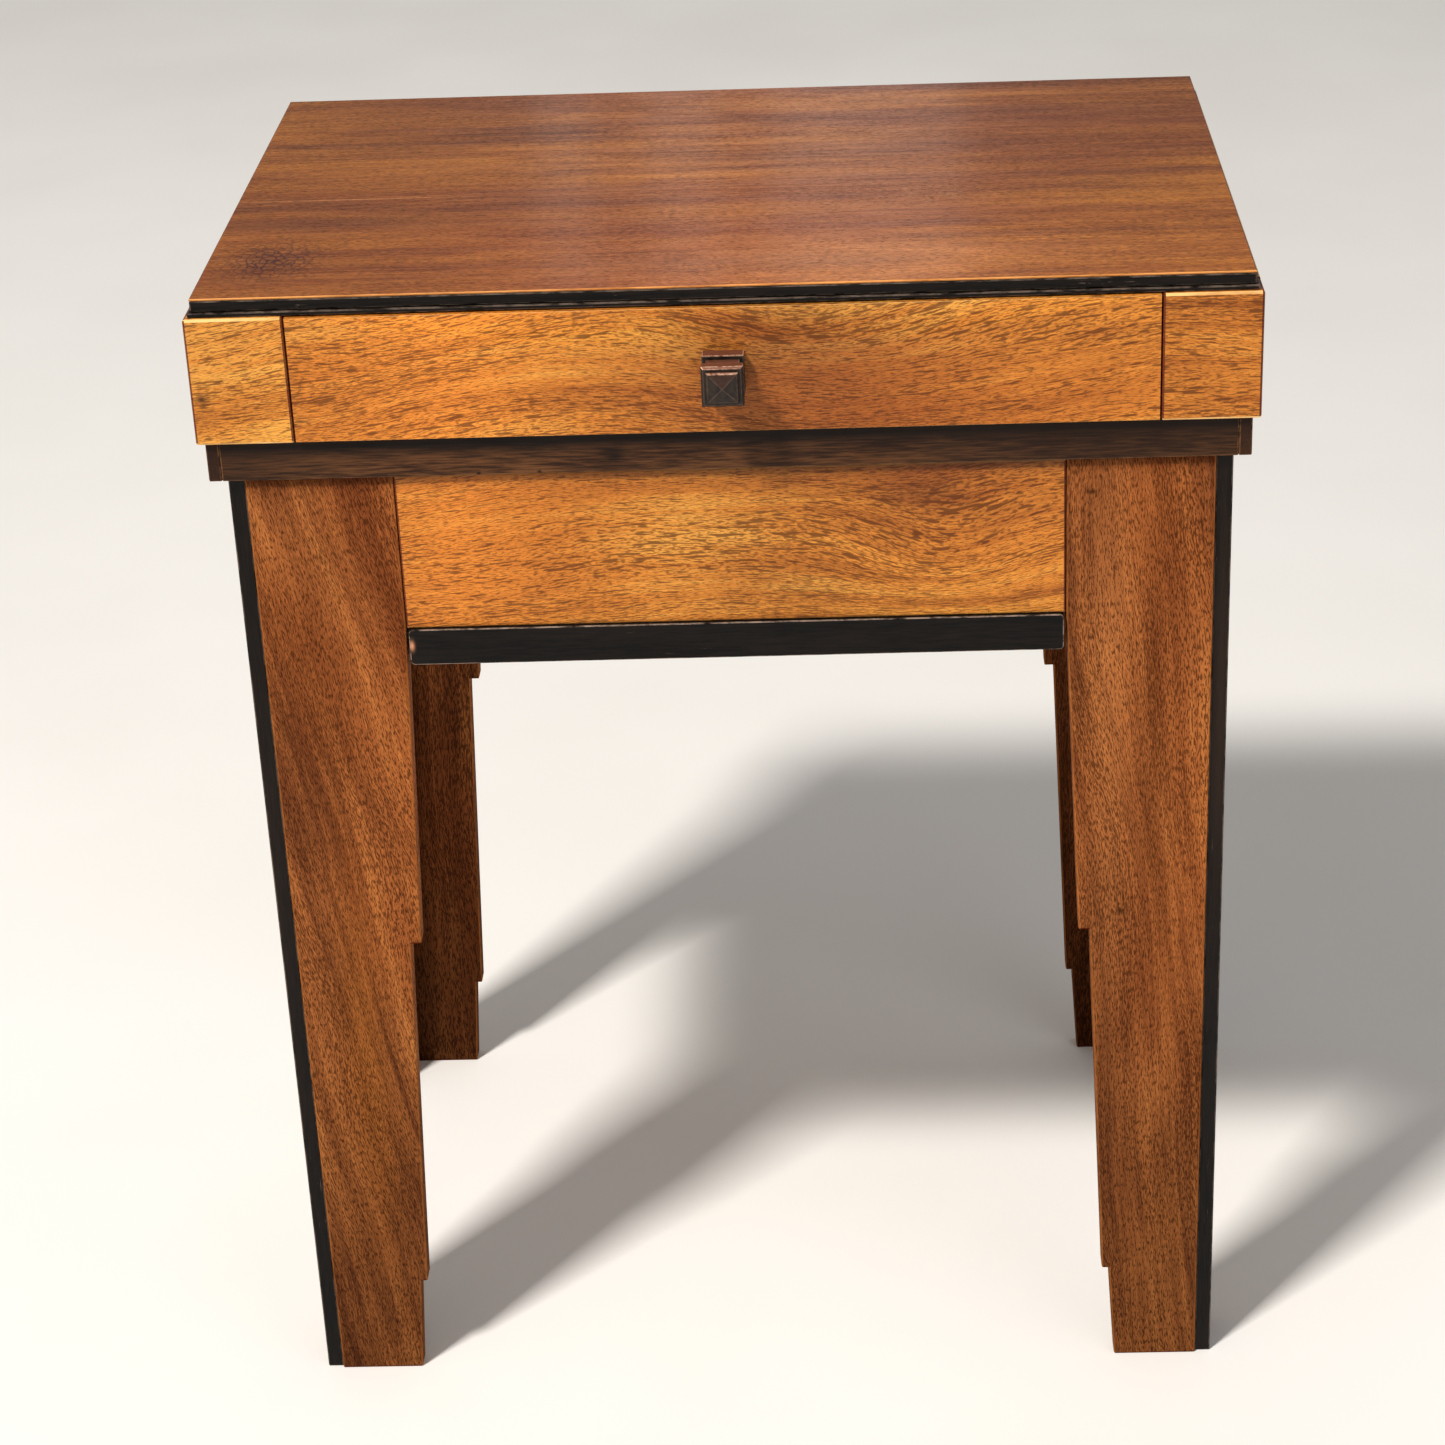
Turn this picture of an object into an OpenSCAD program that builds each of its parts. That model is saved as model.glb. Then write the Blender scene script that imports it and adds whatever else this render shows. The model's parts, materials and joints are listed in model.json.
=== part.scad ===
// Vintage sewing table: a shallow drawer with thread compartments over a deep yarn box
// that slides out between four stepped, L-shaped legs.
// Units are millimetres. The floor is z = 0, +Z is up, and the front faces -Y.

/* [Overall] */
// Width of the drawer casing, the widest part of the table
body_w = 560; // [520:5:620]
// Depth of the drawer casing, front to back
body_d = 370; // [340:5:420]
// Height from the floor to the underside of the drawer casing
casing_z = 606; // [570:2:640]
// Height of the drawer casing
casing_h = 70; // [64:1:80]
// Thickness of the casing's boards
casing_t = 18; // [15:0.5:22]

/* [Top] */
// Thickness of the top's visible edge
top_h = 7.2; // [6:0.2:10]
// Thickness of the veneered face that covers the black lippings
face_veneer_t = 1.2; // [0.8:0.1:2]
// Thickness of the black lippings, seen from above
lipping_t = 6; // [4:0.5:8]
// How far the top's edge sits in from the drawer casing
top_inset = 4; // [3:0.5:8]
// Height of the black ledge under the top
ledge_h = 2.8; // [2:0.2:5]
// Width of the ledge strips
ledge_w = 22; // [18:1:30]
// How far the ledge sits in from the drawer casing
ledge_inset = 2.4; // [1.5:0.1:3]

/* [Moulding and frame] */
// Height of the dark moulding under the drawer casing, and of the frame behind it
moulding_h = 22; // [18:1:26]
// Thickness of the moulding strips
moulding_t = 7; // [5:0.5:10]
// How far the moulding sits in from the casing at the sides
moulding_inset_side = 4.1; // [3:0.1:6]
// How far the moulding sits in from the casing at the front and back
moulding_inset_front = 3.2; // [2:0.1:4]
// Width of the frame's front and back rails
frame_rail_w = 50; // [40:1:60]

/* [Legs] */
// Thickness of the leg boards and of the aprons
board_t = 12.6; // [11:0.2:14]
// How far the face boards of the legs sit behind the casing's front
face_setback = 6.6; // [6:0.1:8]
// How far the side boards of the legs sit in from the casing's side
side_setback = 12.2; // [11:0.1:14]
// Width of the black strip in each corner, seen from the front
strip_w = 9.2; // [8:0.2:11]
// How far the strip sits behind the face boards
strip_recess = 2; // [1:0.2:3]
// How far the strip sits in from the side boards
strip_recess_side = 0.8; // [0.4:0.2:1.6]
// Face board widths: at the apron, above and below each step, at the floor
face_widths = [79, 71.3, 65.2, 56.4, 52.4, 48.6];
// Side board widths: at the apron, above and below each step, at the floor
side_widths = [51, 44.4, 39, 31.6, 28.2, 25.2];
// Heights of the two steps in each leg board
step_heights = [296, 63];

/* [Aprons] */
// Height of the aprons and of the yarn box's front
apron_h = 90; // [80:1:110]
// Height of the black rails under the aprons
rail_h = 21; // [18:0.5:26]
// How far the black rails stand out from the aprons
rail_proud = 2.5; // [1.5:0.5:4]
// Corner radius of the black rails' ends
rail_corner_r = 2.5; // [1:0.5:5]
// Gap between each end of a black rail and the leg beside it
rail_gap = 1.3; // [0.8:0.1:3]

/* [Drawer] */
// Width of the drawer front
drawer_front_w = 454; // [430:2:470]
// Gap round the drawer front
drawer_gap = 0.7; // [0.5:0.1:1.2]
// Thickness of the drawer's sides and back
drawer_side_t = 10; // [8:0.5:12]
// Height of the drawer's sides
drawer_side_h = 55; // [48:1:56]
// Thickness of the drawer's divider boards
divider_t = 5; // [4:0.5:7]
// Height of the drawer's divider boards
divider_h = 40; // [30:1:44]
// Number of small compartments at the front of the drawer
compartments = 5; // [3:1:6]
// Depth of the small compartments, front to back
compartment_d = 120; // [90:5:150]

/* [Yarn box] */
// Thickness of the yarn box's sides and back
box_side_t = 12; // [11:0.5:14]
// Height of the yarn box's sides
box_side_h = 100; // [90:1:103]
// Gap between each side of the yarn box's front and the leg beside it
box_gap = 0.4; // [0.3:0.1:1]

/* [Knob] */
// Width of the square plate against the drawer front
knob_plate_w = 22; // [20:1:26]
// Width of the neck
knob_neck_w = 17.5; // [15:0.5:19]
// Width of the head
knob_head_w = 22; // [20:0.5:26]
// Width of the raised square on the head
knob_face_w = 16.6; // [15:0.2:18]
// How far the knob reaches out from the drawer front
knob_reach = 29; // [28.5:0.5:34]

/* [Hidden] */

$fn = 48;
eps = 0.01;

// The four corners, as [left or right, front or back]
FRONT_LEFT = [-1, -1];
FRONT_RIGHT = [1, -1];
BACK_LEFT = [-1, 1];
BACK_RIGHT = [1, 1];

// The knob reaches out in front, so the casing's middle lies behind the origin
front_y = -(body_d - knob_reach) / 2;
back_y = front_y + body_d;
mid_y = (front_y + back_y) / 2;

// Levels, from the floor up
leg_top = casing_z - moulding_h;
apron_z = leg_top - apron_h;
rail_z = apron_z - rail_h;
ledge_z = casing_z + casing_h;
top_z = ledge_z + ledge_h;
table_h = top_z + top_h;

// Drawer casing
block_w = (body_w - drawer_front_w) / 2 - drawer_gap;
block_d = casing_t + 4;
casing_inside_w = body_w - 2 * casing_t;
top_frame_h = 12;
top_frame_w = 40;
kicker_w = 57;
guide_w = 20;
guide_h = 12;
guide_gap = 1;

// Legs, measured from the table's middle
side_x = body_w / 2 - side_setback;
strip_outer_x = side_x - strip_recess_side;
strip_inner_x = strip_outer_x - strip_w;
leg_inner_x = strip_inner_x - face_widths[0];
face_y = body_d / 2 - face_setback;
board_back_y = face_y - board_t;
side_apron_y = board_back_y - side_widths[0];
corner_block_w = 20;

// Moulding, measured from the table's middle
moulding_x = body_w / 2 - moulding_inset_side;
moulding_y = body_d / 2 - moulding_inset_front;
frame_x = moulding_x - moulding_t;
frame_y = moulding_y - moulding_t;
frame_side_w = 64;

// Drawer box
drawer_outer_x = drawer_front_w / 2 - 2;
drawer_inner_x = drawer_outer_x - drawer_side_t;
drawer_z = casing_z + 0.4;
drawer_front_back_y = front_y + casing_t;
drawer_end_y = back_y - casing_t - 0.6;
drawer_inside_end_y = drawer_end_y - drawer_side_t;
bottom_t = 5;
groove_d = 4;
drawer_bottom_z = drawer_z + 5;
drawer_floor_z = drawer_bottom_z + bottom_t;
tails = 3;
tail_l = 12;
tail_root_w = 9;
tail_end_w = 12.4;

// Yarn box
box_front_y = front_y + face_setback;
box_front_t = 16;
box_front_back_y = box_front_y + box_front_t;
box_front_x = leg_inner_x - box_gap;
box_outer_x = leg_inner_x - 3.8;
box_inner_x = box_outer_x - box_side_t;
box_end_y = mid_y + board_back_y - 0.6;
box_inside_end_y = box_end_y - box_side_t;
box_side_z = rail_z + 5;
box_bottom_z = box_side_z + 4;
box_floor_z = box_bottom_z + bottom_t;
runner_z = apron_z + 46;
runner_tongue_h = 10;
runner_tongue_d = 4.4;
runner_bar_w = 21;
runner_bar_h = 30;
runner_clear = 0.5;

// Knob
knob_z = casing_z + casing_h / 2;
knob_plate_t = 8.6;
knob_neck_l = 9.6;
knob_head_t = 7.4;
knob_head_chamfer = 1.2;
knob_face_chamfer = 0.6;
knob_peak_l = 1.2;

// Screws
screw_r = 1.75;
screw_head_r = 3.6;
screw_head_h = 2.6;
screw_slot_w = 0.8;
screw_slot_d = 0.9;
top_screw_bite = 6;
top_screw_xy = [
  for (side = [-1, 1])
    for (step = [-1, 0, 1])
      [side * (casing_inside_w / 2 - kicker_w / 2), mid_y + 20 + step * 100]
];
grip_screw_bite = 14;
grip_screw_x = [-120, 0, 120];
grip_screw_y = box_front_y + box_front_t / 2;
knob_screw_r = 2;
knob_screw_hole_r = 2.3;
knob_screw_bite = 8;

walnut = "peru";
walnut_dark = "sienna";
ebony = "#1c1a18";
stained = "#4a3324";
plain_wood = "burlywood";
bronze = "#5a473c";
steel = "silver";

// ---------- Shapes that repeat ----------

// A box from its lowest corner to its highest
module block(low, high) {
  translate(low)
    cube(high - low);
}

// One side of a mitred rectangular ring: 0 front, 1 right, 2 back, 3 left
module ring_side(side, outer_w, outer_d, strip, h) {
  length = side % 2 == 0 ? outer_w : outer_d;
  reach = side % 2 == 0 ? outer_d : outer_w;
  rotate([0, 0, 90 * side])
    translate([0, -reach / 2, 0])
      linear_extrude(h)
        polygon([
          [-length / 2, 0],
          [length / 2, 0],
          [length / 2 - strip, strip],
          [-length / 2 + strip, strip]
        ]);
}

// Puts a piece made for the right back corner into another corner
module at_corner(corner) {
  translate([0, mid_y, 0])
    mirror([corner[0] < 0 ? 1 : 0, 0, 0])
      mirror([0, corner[1] < 0 ? 1 : 0, 0])
        children();
}

// Outline of a leg board: straight outer edge, stepped and tapered inner edge
module stepped_outline(widths) {
  polygon([
    [0, 0],
    [-widths[5], 0],
    [-widths[4], step_heights[1]],
    [-widths[3], step_heights[1]],
    [-widths[2], step_heights[0]],
    [-widths[1], step_heights[0]],
    [-widths[0], apron_z],
    [-widths[0], leg_top],
    [0, leg_top]
  ]);
}

// Turns an outline drawn in X and Y so that it stands in Y and Z, extruded along +X
module stand_along_x(length) {
  rotate([90, 0, 90])
    linear_extrude(length)
      children();
}

// A countersunk wood screw that points up, its head's face at z = 0
module wood_screw(length) {
  cylinder(r1 = screw_head_r, r2 = screw_r, h = screw_head_h);
  cylinder(r = screw_r, h = length);
}

// The driver slot across a screw head whose face is at z = 0
module screw_slot(head_r) {
  block([-head_r, -screw_slot_w / 2, -eps], [head_r, screw_slot_w / 2, screw_slot_d]);
}

// A black rail with rounded ends, lying along X, its front face at y = 0
module black_rail(length, rail_t) {
  translate([0, rail_t, 0])
    rotate([90, 0, 0])
      linear_extrude(rail_t)
        rounded_outline(length, rail_h, rail_corner_r);
}

// A rectangle with round corners, centred on x = 0 and standing on y = 0
module rounded_outline(w, h, r) {
  translate([-w / 2 + r, 0])
    square([w - 2 * r, h]);
  translate([-w / 2, r])
    square([w, h - 2 * r]);
  for (x = [-w / 2 + r, w / 2 - r])
    for (y = [r, h - r])
      translate([x, y])
        circle(r);
}

// ---------- Top ----------

module top_panel() {
  outer = [body_w / 2 - top_inset, body_d / 2 - top_inset];
  core = [outer[0] - lipping_t, outer[1] - lipping_t];
  inner = [
    body_w / 2 - ledge_inset - ledge_w,
    body_d / 2 - ledge_inset - ledge_w
  ];
  color(walnut)
    difference() {
      translate([0, mid_y, 0]) {
        block([-outer[0], -outer[1], table_h - face_veneer_t], [outer[0], outer[1], table_h]);
        block([-core[0], -core[1], top_z], [core[0], core[1], table_h - face_veneer_t]);
        block([-inner[0], -inner[1], ledge_z], [inner[0], inner[1], top_z]);
      }
      for (xy = top_screw_xy)
        translate([xy[0], xy[1], ledge_z - top_frame_h])
          cylinder(r = screw_r, h = top_frame_h + top_screw_bite);
    }
}

module top_edge(side) {
  color(ebony)
    translate([0, mid_y, top_z])
      ring_side(side, body_w - 2 * top_inset, body_d - 2 * top_inset, lipping_t, top_h - face_veneer_t);
}

module top_ledge() {
  color(ebony)
    translate([0, mid_y, ledge_z])
      for (side = [0:3])
        ring_side(side, body_w - 2 * ledge_inset, body_d - 2 * ledge_inset, ledge_w, ledge_h);
}

// Rails and kickers that the top is screwed to, and that keep the open drawer level
module top_frame() {
  low = ledge_z - top_frame_h;
  rail_x = casing_inside_w / 2 - kicker_w;
  front_rail_x = drawer_front_w / 2 + drawer_gap;
  rail_y = drawer_front_back_y + 0.8;
  inside_back_y = back_y - casing_t;
  color(plain_wood)
    difference() {
      union() {
        block([-front_rail_x, rail_y, low], [front_rail_x, rail_y + top_frame_w, ledge_z]);
        block([-rail_x, inside_back_y - top_frame_w, low], [rail_x, inside_back_y, ledge_z]);
        for (side = [0, 1])
          mirror([side, 0, 0])
            block(
              [rail_x, rail_y + top_frame_w, low],
              [casing_inside_w / 2, inside_back_y, ledge_z]
            );
      }
      for (xy = top_screw_xy)
        translate([xy[0], xy[1], low])
          wood_screw(top_frame_h + 1);
    }
}

module top_screws() {
  color(steel)
    for (xy = top_screw_xy)
      translate([xy[0], xy[1], ledge_z - top_frame_h])
        difference() {
          wood_screw(top_frame_h + top_screw_bite);
          screw_slot(screw_head_r);
        }
}

// ---------- Drawer casing ----------

module casing_block(side) {
  color(walnut)
    mirror([side < 0 ? 1 : 0, 0, 0])
      block(
        [body_w / 2 - block_w, front_y, casing_z],
        [body_w / 2, front_y + block_d, ledge_z]
      );
}

module casing_side(side) {
  color(walnut)
    mirror([side < 0 ? 1 : 0, 0, 0])
      block(
        [casing_inside_w / 2, front_y + block_d, casing_z],
        [body_w / 2, back_y - casing_t, ledge_z]
      );
}

module casing_back() {
  color(walnut)
    block([-body_w / 2, back_y - casing_t, casing_z], [body_w / 2, back_y, ledge_z]);
}

// Strips on the frame that the drawer's sides run between
module drawer_guides() {
  color(plain_wood)
    for (side = [0, 1])
      mirror([side, 0, 0])
        block(
          [drawer_outer_x + guide_gap, front_y + block_d, casing_z],
          [drawer_outer_x + guide_gap + guide_w, back_y - casing_t, casing_z + guide_h]
        );
}

// ---------- Moulding and frame ----------

// Front and back strips fit between the side strips, which show their ends
module moulding_across(end) {
  color(stained)
    at_corner([1, end])
      block([-frame_x, frame_y, leg_top], [frame_x, moulding_y, casing_z]);
}

module moulding_along(side) {
  color(stained)
    at_corner([side, 1])
      block([frame_x, -moulding_y, leg_top], [moulding_x, moulding_y, casing_z]);
}

module frame_rail_across(end) {
  color(plain_wood)
    at_corner([1, end])
      block([-frame_x, frame_y - frame_rail_w, leg_top], [frame_x, frame_y, casing_z]);
}

module frame_rail_along(side) {
  reach = frame_y - frame_rail_w;
  color(plain_wood)
    at_corner([side, 1])
      block([frame_x - frame_side_w, -reach, leg_top], [frame_x, reach, casing_z]);
}

// ---------- Legs ----------

module leg_face(corner) {
  color(walnut_dark)
    at_corner(corner)
      translate([strip_inner_x, face_y, 0])
        rotate([90, 0, 0])
          linear_extrude(board_t)
            stepped_outline(face_widths);
}

module leg_side(corner) {
  color(walnut_dark)
    at_corner(corner)
      translate([side_x - board_t, board_back_y, 0])
        stand_along_x(board_t)
          stepped_outline(side_widths);
}

module leg_strip(corner) {
  color(ebony)
    at_corner(corner)
      block([strip_inner_x, board_back_y, 0], [strip_outer_x, face_y - strip_recess, leg_top]);
}

// Glued blocks inside the tops of the legs
module corner_blocks() {
  inner_x = side_x - board_t;
  color(plain_wood)
    for (corner = [FRONT_LEFT, FRONT_RIGHT, BACK_LEFT, BACK_RIGHT])
      at_corner(corner)
        block(
          [inner_x - corner_block_w, board_back_y - corner_block_w, apron_z + 6],
          [inner_x, board_back_y, leg_top]
        );
}

// ---------- Aprons ----------

module apron_side(side) {
  color(walnut)
    at_corner([side, 1])
      block([side_x - board_t, -side_apron_y, apron_z], [side_x, side_apron_y, leg_top]);
}

module apron_back() {
  color(walnut)
    at_corner(BACK_RIGHT)
      block([-leg_inner_x, board_back_y, apron_z], [leg_inner_x, face_y, leg_top]);
}

module black_rail_side(side) {
  color(ebony)
    at_corner([side, 1])
      translate([side_x + rail_proud, 0, rail_z])
        rotate([0, 0, 90])
          black_rail(2 * (side_apron_y - rail_gap), board_t + rail_proud);
}

module black_rail_back() {
  color(ebony)
    translate([0, mid_y + face_y + rail_proud, rail_z])
      rotate([0, 0, 180])
        black_rail(2 * (leg_inner_x - rail_gap), board_t + rail_proud);
}

// Bars between the front and back legs, with a tongue for the yarn box's groove
module box_runner(side) {
  bar_x = leg_inner_x + 0.5;
  bar_z = runner_z + (runner_tongue_h - runner_bar_h) / 2;
  tongue_x = box_outer_x - runner_tongue_d;
  color(plain_wood)
    mirror([side < 0 ? 1 : 0, 0, 0]) {
      block(
        [bar_x, mid_y - board_back_y, bar_z],
        [bar_x + runner_bar_w, mid_y + board_back_y, bar_z + runner_bar_h]
      );
      block(
        [tongue_x, box_front_back_y + 2, runner_z],
        [bar_x + eps, mid_y + board_back_y, runner_z + runner_tongue_h]
      );
    }
}

// ---------- Drawer ----------

// The dovetail tails at the front end of a drawer side, from the inner face outwards
module drawer_tails() {
  pitch = drawer_side_h / tails;
  translate([drawer_inner_x, drawer_front_back_y, drawer_z])
    stand_along_x(drawer_side_t)
      for (i = [0:tails - 1])
        translate([0, (i + 0.5) * pitch])
          polygon([
            [eps, -tail_root_w / 2],
            [-tail_l, -tail_end_w / 2],
            [-tail_l, tail_end_w / 2],
            [eps, tail_root_w / 2]
          ]);
}

module drawer_bottom_board() {
  x = drawer_inner_x + groove_d;
  block(
    [-x, drawer_front_back_y - groove_d, drawer_bottom_z],
    [x, drawer_end_y, drawer_floor_z]
  );
}

module drawer_front() {
  low = casing_z + drawer_gap;
  high = ledge_z - drawer_gap;
  color(walnut)
    difference() {
      block(
        [-drawer_front_w / 2, front_y, low],
        [drawer_front_w / 2, drawer_front_back_y, high]
      );
      drawer_tails();
      mirror([1, 0, 0])
        drawer_tails();
      drawer_bottom_board();
      translate([0, front_y, knob_z])
        rotate([-90, 0, 0])
          cylinder(r = knob_screw_hole_r, h = casing_t);
    }
}

module drawer_side(side) {
  color(plain_wood)
    difference() {
      mirror([side < 0 ? 1 : 0, 0, 0])
        union() {
          block(
            [drawer_inner_x, drawer_front_back_y, drawer_z],
            [drawer_outer_x, drawer_end_y, drawer_z + drawer_side_h]
          );
          drawer_tails();
        }
      drawer_bottom_board();
    }
}

module drawer_back() {
  color(plain_wood)
    block(
      [-drawer_inner_x, drawer_inside_end_y, drawer_floor_z],
      [drawer_inner_x, drawer_end_y, drawer_z + drawer_side_h - 3]
    );
}

module drawer_bottom() {
  color(plain_wood)
    drawer_bottom_board();
}

module cross_divider() {
  y = drawer_front_back_y + compartment_d;
  color(plain_wood)
    block(
      [-drawer_inner_x, y, drawer_floor_z],
      [drawer_inner_x, y + divider_t, drawer_floor_z + divider_h]
    );
}

// Short boards between the small compartments, and one board down the back half
module compartment_dividers() {
  pitch = 2 * drawer_inner_x / compartments;
  high = drawer_floor_z + divider_h;
  color(plain_wood) {
    for (i = [1:compartments - 1])
      translate([-drawer_inner_x + i * pitch, 0, 0])
        block(
          [-divider_t / 2, drawer_front_back_y, drawer_floor_z],
          [divider_t / 2, drawer_front_back_y + compartment_d, high]
        );
    block(
      [-divider_t / 2, drawer_front_back_y + compartment_d + divider_t, drawer_floor_z],
      [divider_t / 2, drawer_inside_end_y, high]
    );
  }
}

// ---------- Knob ----------

// A square slab of the knob: its width, and where it starts and ends in front of the drawer
module knob_slab(w, start, end) {
  block([-w / 2, front_y - end, knob_z - w / 2], [w / 2, front_y - start, knob_z + w / 2]);
}

// A square taper from one width to another, such as the low pyramid on the knob's face
module knob_taper(start_w, end_w, start, length) {
  translate([0, front_y - start, knob_z])
    rotate([90, 45, 0])
      cylinder(r1 = start_w / sqrt(2), r2 = end_w / sqrt(2), h = length, $fn = 4);
}

module knob_plate() {
  color(bronze)
    difference() {
      knob_slab(knob_plate_w, 0, knob_plate_t);
      translate([0, front_y, knob_z])
        rotate([90, 0, 0])
          cylinder(r = knob_screw_hole_r, h = knob_plate_t);
    }
}

module knob() {
  head_start = knob_plate_t + knob_neck_l;
  head_end = head_start + knob_head_t;
  face_end = knob_reach - knob_peak_l;
  head_edge_w = knob_head_w - 2 * knob_head_chamfer;
  peak_w = knob_face_w - 2 * knob_face_chamfer;
  color(bronze)
    difference() {
      union() {
        knob_slab(knob_neck_w, knob_plate_t, head_start + eps);
        knob_taper(head_edge_w, knob_head_w, head_start, knob_head_chamfer);
        knob_slab(knob_head_w, head_start + knob_head_chamfer, head_end - knob_head_chamfer);
        knob_taper(knob_head_w, head_edge_w, head_end - knob_head_chamfer, knob_head_chamfer);
        knob_slab(knob_face_w, head_end - eps, face_end - knob_face_chamfer);
        knob_taper(knob_face_w, peak_w, face_end - knob_face_chamfer, knob_face_chamfer);
        knob_taper(peak_w, 0, face_end, knob_peak_l);
      }
      translate([0, front_y, knob_z])
        rotate([90, 0, 0])
          cylinder(r = knob_screw_r, h = knob_plate_t + knob_screw_bite);
    }
}

module knob_screw() {
  head_t = 2.4;
  head_r = 2 * knob_screw_r;
  color(steel)
    translate([0, drawer_front_back_y, knob_z])
      rotate([90, 0, 0]) {
        cylinder(r = knob_screw_r, h = casing_t + knob_plate_t + knob_screw_bite);
        translate([0, 0, -head_t])
          difference() {
            cylinder(r = head_r, h = head_t);
            screw_slot(head_r);
          }
      }
}

// ---------- Yarn box ----------

module yarn_box_bottom_board() {
  x = box_inner_x + groove_d;
  block(
    [-x, box_front_back_y - groove_d, box_bottom_z],
    [x, box_end_y, box_floor_z]
  );
}

module yarn_box_front() {
  color(walnut)
    difference() {
      block(
        [-box_front_x, box_front_y, apron_z],
        [box_front_x, box_front_back_y, leg_top - drawer_gap]
      );
      grip_rail_screw_shapes();
    }
}

// The black rail under the front, which fingers hook under to pull the box out
module yarn_box_grip_rail() {
  color(ebony)
    difference() {
      translate([0, box_front_y - rail_proud, rail_z])
        black_rail(2 * (leg_inner_x - rail_gap), box_front_t + rail_proud);
      yarn_box_bottom_board();
      grip_rail_screw_shapes();
    }
}

module yarn_box_side(side) {
  groove_z = runner_z - runner_clear;
  color(plain_wood)
    difference() {
      mirror([side < 0 ? 1 : 0, 0, 0])
        difference() {
          block(
            [box_inner_x, box_front_back_y, box_side_z],
            [box_outer_x, box_end_y, box_side_z + box_side_h]
          );
          block(
            [box_outer_x - runner_tongue_d - 0.6, box_front_back_y - eps, groove_z],
            [box_outer_x + eps, box_end_y + eps, groove_z + runner_tongue_h + 2 * runner_clear]
          );
        }
      yarn_box_bottom_board();
    }
}

module yarn_box_back() {
  color(plain_wood)
    block(
      [-box_inner_x, box_inside_end_y, box_floor_z],
      [box_inner_x, box_end_y, box_side_z + box_side_h]
    );
}

module yarn_box_bottom() {
  color(plain_wood)
    yarn_box_bottom_board();
}

module grip_rail_screw_shapes() {
  for (x = grip_screw_x)
    translate([x, grip_screw_y, rail_z])
      wood_screw(rail_h + grip_screw_bite);
}

module grip_rail_screws() {
  color(steel)
    difference() {
      grip_rail_screw_shapes();
      for (x = grip_screw_x)
        translate([x, grip_screw_y, rail_z])
          screw_slot(screw_head_r);
    }
}

top_panel();
top_edge(0);  // top_edge_front
top_edge(1);  // top_edge_right
top_edge(2);  // top_edge_back
top_edge(3);  // top_edge_left
top_ledge();
top_frame();
top_screws();
casing_block(-1);  // casing_block_left
casing_block(1);  // casing_block_right
casing_side(-1);  // casing_side_left
casing_side(1);  // casing_side_right
casing_back();
drawer_guides();
moulding_across(-1);  // moulding_front
moulding_along(1);  // moulding_right
moulding_across(1);  // moulding_back
moulding_along(-1);  // moulding_left
frame_rail_across(-1);  // frame_rail_front
frame_rail_along(1);  // frame_rail_right
frame_rail_across(1);  // frame_rail_back
frame_rail_along(-1);  // frame_rail_left
leg_face(FRONT_LEFT);  // leg_front_left_face
leg_side(FRONT_LEFT);  // leg_front_left_side
leg_strip(FRONT_LEFT);  // leg_front_left_strip
leg_face(FRONT_RIGHT);  // leg_front_right_face
leg_side(FRONT_RIGHT);  // leg_front_right_side
leg_strip(FRONT_RIGHT);  // leg_front_right_strip
leg_face(BACK_LEFT);  // leg_back_left_face
leg_side(BACK_LEFT);  // leg_back_left_side
leg_strip(BACK_LEFT);  // leg_back_left_strip
leg_face(BACK_RIGHT);  // leg_back_right_face
leg_side(BACK_RIGHT);  // leg_back_right_side
leg_strip(BACK_RIGHT);  // leg_back_right_strip
corner_blocks();
apron_side(-1);  // apron_left
apron_side(1);  // apron_right
apron_back();
black_rail_side(-1);  // black_rail_left
black_rail_side(1);  // black_rail_right
black_rail_back();
box_runner(-1);  // box_runner_left
box_runner(1);  // box_runner_right
drawer_front();
drawer_side(-1);  // drawer_side_left
drawer_side(1);  // drawer_side_right
drawer_back();
drawer_bottom();
cross_divider();
compartment_dividers();
knob_plate();
knob();
knob_screw();
yarn_box_front();
yarn_box_grip_rail();
yarn_box_side(-1);  // yarn_box_side_left
yarn_box_side(1);  // yarn_box_side_right
yarn_box_back();
yarn_box_bottom();
grip_rail_screws();
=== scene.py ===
"""The looks of the vintage sewing table: walnut, ebonised wood and bronze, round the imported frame."""
import json
import math
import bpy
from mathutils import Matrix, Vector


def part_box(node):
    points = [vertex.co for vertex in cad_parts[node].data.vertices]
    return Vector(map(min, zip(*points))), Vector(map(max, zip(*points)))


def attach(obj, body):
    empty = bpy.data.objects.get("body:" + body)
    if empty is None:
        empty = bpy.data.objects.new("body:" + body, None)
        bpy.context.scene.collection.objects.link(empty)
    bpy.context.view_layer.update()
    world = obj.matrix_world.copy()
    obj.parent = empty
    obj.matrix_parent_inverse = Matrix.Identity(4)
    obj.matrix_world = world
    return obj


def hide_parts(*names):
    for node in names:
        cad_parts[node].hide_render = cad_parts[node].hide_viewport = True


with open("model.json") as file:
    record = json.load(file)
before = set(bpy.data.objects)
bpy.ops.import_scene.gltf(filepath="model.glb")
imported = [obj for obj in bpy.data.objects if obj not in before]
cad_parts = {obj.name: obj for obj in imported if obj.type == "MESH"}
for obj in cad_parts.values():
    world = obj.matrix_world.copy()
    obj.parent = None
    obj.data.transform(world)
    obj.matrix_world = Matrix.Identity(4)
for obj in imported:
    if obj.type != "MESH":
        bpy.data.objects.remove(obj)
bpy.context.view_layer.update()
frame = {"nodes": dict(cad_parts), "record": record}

import zlib

import bmesh
import bpy
from mathutils import Matrix, Vector

MM = 0.001
# How deep grain, pores and scratches are
RELIEF = 0.05 * MM

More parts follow.
